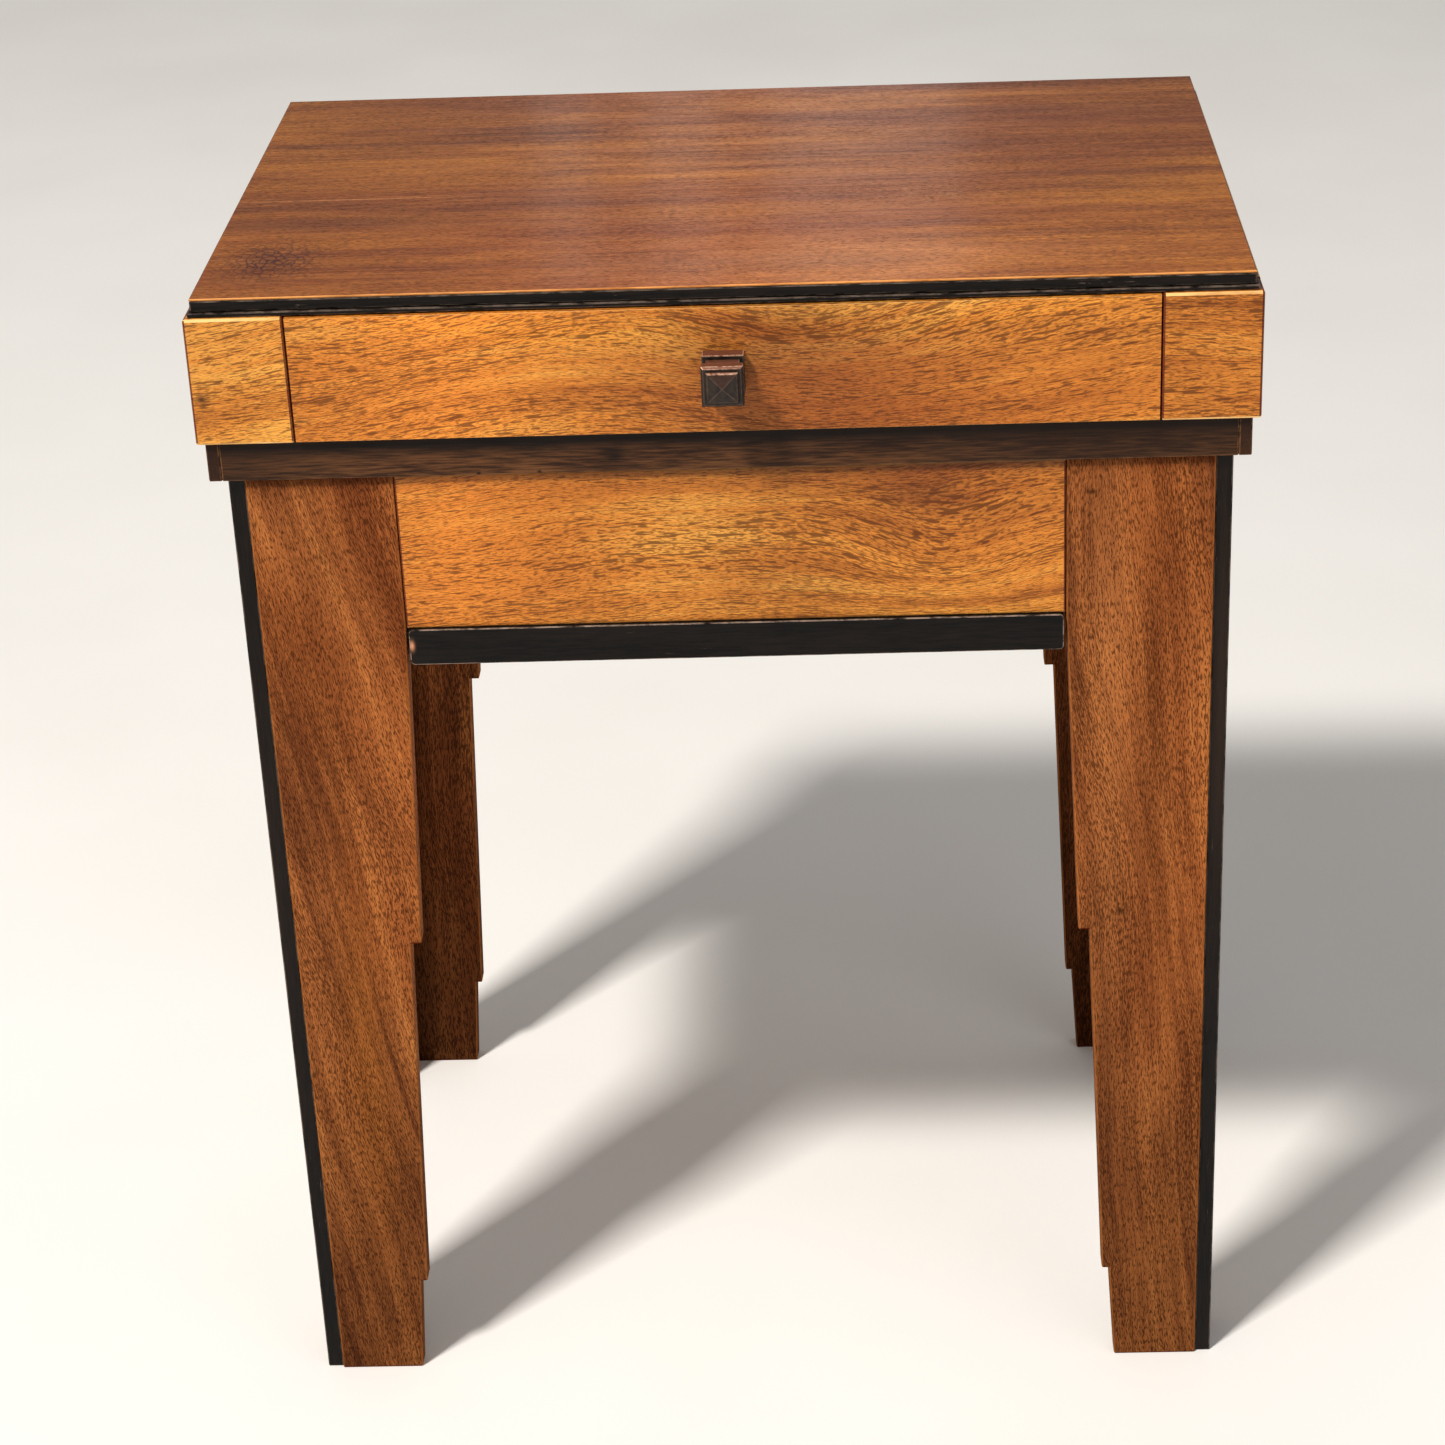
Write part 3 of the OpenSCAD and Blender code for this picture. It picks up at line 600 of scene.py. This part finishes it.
def round_arrises(work, node):
    """Rounds a piece's outside edges."""
    edges = outside_edges(work, OWN_LEAST_TURN.get(node, LEAST_TURN), SHOW_FACE.get(node))
    if edges:
        bmesh.ops.bevel(
            work, geom=edges, offset=ARRISES.get(node, ARRIS), segments=ARRIS_STEPS, profile=0.5,
            affect="EDGES", clamp_overlap=True,
        )


def store_on_faces(mesh, name, values):
    """Stores one number for each face, for the materials to read."""
    mesh.attributes.new(name, "FLOAT", "FACE").data.foreach_set("value", values)


def own_numbers(node, spans):
    """Whole numbers, one under each span, made from a piece's name and so always the same for it."""
    rest = zlib.crc32(node.encode())
    numbers = []
    for span in spans:
        rest, number = divmod(rest, span)
        numbers.append(number)
    return numbers


def grain_frame(along, tilt):
    """Directions along, across and into the grain."""
    first = AXES[along]
    second = AXES["X"] if along == "Z" else AXES["Z"]
    third = first.cross(second)
    turn = Matrix.Rotation(tilt, 3, third)
    return turn @ first, turn @ second, third


def inner_way(node):
    """The way a board's inner face looks: across its thickness, towards the middle of the table."""
    low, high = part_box(node)
    size = high - low
    thin = min(range(3), key=lambda i: size[i])
    way = AXES["XYZ"[thin]]
    return -way if (low + high)[thin] > 0 else way


def lay_grain(mesh, node, along):
    """Stores each point's place in the grain, moved by an amount of its own so that no two boards match."""
    ways = grain_frame(along, TILT.get(node, 0.0))
    shift = Vector(own_numbers(node, CUT_PLACES)) * CUT_APART
    values = []
    for vertex in mesh.vertices:
        values.extend(vertex.co.dot(way) + move for way, move in zip(ways, shift))
    mesh.attributes.new("grain", "FLOAT_VECTOR", "POINT").data.foreach_set("vector", values)
    store_on_faces(mesh, "endgrain", [abs(face.normal.dot(ways[0])) ** 4 for face in mesh.polygons])


def lay_tint(mesh, node):
    """Stores how light each face is, with painted shade on the rear legs and on the legs' inner faces, and
    how far it looks up.
    """
    step, = own_numbers(node, (TINT_STEPS + 1,))
    # The rear legs take a darker tint, which is painted shade
    tint = REAR_LEG_SHADE_TINT.get(node, LEAST_TINT + TINT_SPREAD * step / TINT_STEPS)
    tints = [tint] * len(mesh.polygons)
    # The legs' inner faces are darkened: partly painted shade, partly unpolished wood
    if SLOT_OF[node] == "walnut_leg":
        inner = inner_way(node)
        for face in mesh.polygons:
            if face.normal.dot(inner) > NEARLY_SAME_WAY:
                tints[face.index] *= INNER_FACE_SHADE_TINT
    store_on_faces(mesh, "tint", tints)
    store_on_faces(mesh, "upward", [max(0.0, face.normal.z) for face in mesh.polygons])


def lay_wear(mesh, node, rounded, with_grain):
    """Stores which rounded arrises are rubbed pale, with a painted highlight on the metal's arrises that
    look up and the yarn box front's kept dark as painted shade, and which are dark seams across the grain.
    """
    slot = SLOT_OF[node]
    worn = OWN_WEAR_AND_SHADE.get(node, WORN.get(slot, 0.0))
    any_way = slot not in WALNUTS
    edge = [worn if r and (w or any_way) else 0.0 for r, w in zip(rounded, with_grain)]
    if slot == "bronze":
        # Brighter the more the arris looks up: partly rubbed metal, partly a painted highlight
        rub = [max(LEAST_RUB_AND_GLINT, RUB_AND_GLINT_SLOPE * face.normal.z - RUB_AND_GLINT_START) for face in mesh.polygons]
        edge = [e * r for e, r in zip(edge, rub)]
    store_on_faces(mesh, "edge", edge)
    store_on_faces(mesh, "seam", [1.0 if r and not w else 0.0 for r, w in zip(rounded, with_grain)])


def longest_way(node):
    """The axis along a piece's longest side."""
    low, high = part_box(node)
    size = high - low
    return "XYZ"[max(range(3), key=lambda i: size[i])]


def runs_along(face, way):
    """Whether a narrow face of a rounded arris runs along a direction."""
    longest = max(face.edges, key=lambda edge: edge.calc_length())
    start, end = (vertex.co for vertex in longest.verts)
    return abs((end - start).normalized().dot(way)) > ROUGHLY_SAME_WAY


def refine(node):
    """Stands a piece with real rounded arrises and its own grain in a CAD node's place."""
    along = GRAIN.get(node) or longest_way(node)
    work = weld_and_flatten(frame["nodes"][node].data)
    flat = [face.normal.copy() for face in work.faces]
    round_arrises(work, node)
    work.normal_update()
    rounded = [max(face.normal.dot(way) for way in flat) < SAME_WAY for face in work.faces]
    with_grain = [runs_along(face, AXES[along]) for face in work.faces]
    name = node + "_piece"
    mesh = bpy.data.meshes.new(name)
    work.to_mesh(mesh)
    work.free()
    lay_grain(mesh, node, along)
    lay_tint(mesh, node)
    lay_wear(mesh, node, rounded, with_grain)
    mesh.materials.append(MATERIALS[SLOT_OF[node]])
    piece = bpy.data.objects.new(name, mesh)
    bpy.context.scene.collection.objects.link(piece)
    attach(piece, BODY_OF[node])
    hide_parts(node)


for node in sorted(frame["nodes"]):
    refine(node)


# ---------- Floor, lights and camera ----------

FLOOR_HALF = 12.0
TABLE_MIDDLE = (0.0, 0.0, 0.45)
WORLD_STRENGTH = 0.34
WORLD_COLOUR = srgb(252, 249, 245)
# Strips of light behind the table, which its glossy top mirrors: place across and width
SHEEN_STRIPS = ((-0.33, 0.07), (-0.17, 0.09), (0.08, 0.26))
SHEEN_LENGTH = 1.3
SHEEN_POWER_PER_WIDTH = 3.3


def add_floor():
    """A wide pale floor under the table's feet."""
    mesh = bpy.data.meshes.new("floor")
    half = FLOOR_HALF
    corners = [(-half, -half, 0), (half, -half, 0), (half, half, 0), (-half, half, 0)]
    mesh.from_pydata(corners, [], [(0, 1, 2, 3)])
    floor = bpy.data.objects.new("floor", mesh)
    bpy.context.scene.collection.objects.link(floor)
    paint = Paint("floor")
    speckle = paint.noise(paint.place(), (3, 3, 3), detail=3)
    paint.set(
        Base_Color=paint.ramp(speckle, [(0.3, srgb(243, 242, 240)), (0.7, srgb(247, 246, 245))]),
        Roughness=paint.ease(speckle, 0.3, 0.7, 0.7, 0.8),
    )
    mesh.materials.append(paint.material)


def add_light(name, place, aim, size, power, colour):
    """A rectangular lamp at a place, turned to an aim."""
    light = bpy.data.lights.new(name, "AREA")
    light.shape = "RECTANGLE"
    light.size, light.size_y = size
    light.energy = power
    light.color = colour
    lamp = bpy.data.objects.new(name, light)
    lamp.location = place
    lamp.rotation_euler = (Vector(aim) - Vector(place)).to_track_quat("-Z", "Y").to_euler()
    bpy.context.scene.collection.objects.link(lamp)


def add_world(strength, colour):
    """The same soft light from all round."""
    world = bpy.data.worlds.new("studio")
    world.use_nodes = True
    background = next(n for n in world.node_tree.nodes if n.type == "BACKGROUND")
    background.inputs["Color"].default_value = colour
    background.inputs["Strength"].default_value = strength
    bpy.context.scene.world = world


def add_camera():
    """The camera, placed from the casing's front."""
    data = bpy.data.cameras.new("camera")
    data.sensor_width = CAMERA_SENSOR
    data.lens = CAMERA_LENS
    data.shift_x, data.shift_y = CAMERA_SHIFT
    camera = bpy.data.objects.new("camera", data)
    bpy.context.scene.collection.objects.link(camera)
    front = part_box("drawer_front")[0].y
    ahead = Vector((
        math.sin(CAMERA_YAW) * math.cos(CAMERA_PITCH),
        math.cos(CAMERA_YAW) * math.cos(CAMERA_PITCH),
        -math.sin(CAMERA_PITCH),
    ))
    level = Vector((math.cos(CAMERA_YAW), -math.sin(CAMERA_YAW), 0))
    above = level.cross(ahead)
    right = math.cos(CAMERA_ROLL) * level + math.sin(CAMERA_ROLL) * above
    up = math.cos(CAMERA_ROLL) * above - math.sin(CAMERA_ROLL) * level
    turn = Matrix((right, up, -ahead)).transposed()
    camera.matrix_world = Matrix.Translation(CAMERA_FROM_FRONT + Vector((0, front, 0))) @ turn.to_4x4()
    bpy.context.scene.camera = camera


add_floor()
add_world(WORLD_STRENGTH, WORLD_COLOUR)
add_light(
    "key", place=(-2.3, -2.9, 5.3), aim=TABLE_MIDDLE,
    size=(0.75, 0.75), power=400, colour=(1.0, 0.95, 0.88),
)
add_light(
    "fill", place=(2.2, -2.4, 1.6), aim=TABLE_MIDDLE,
    size=(2.0, 1.6), power=10, colour=(0.95, 0.97, 1.0),
)
for x, width in SHEEN_STRIPS:
    add_light(
        "sheen", place=(x, 2.6, 1.45), aim=(x, 0.0, 1.1),
        size=(width, SHEEN_LENGTH), power=SHEEN_POWER_PER_WIDTH * width, colour=(1.0, 0.96, 0.92),
    )
add_camera()
bpy.context.scene.view_settings.view_transform = "Standard"
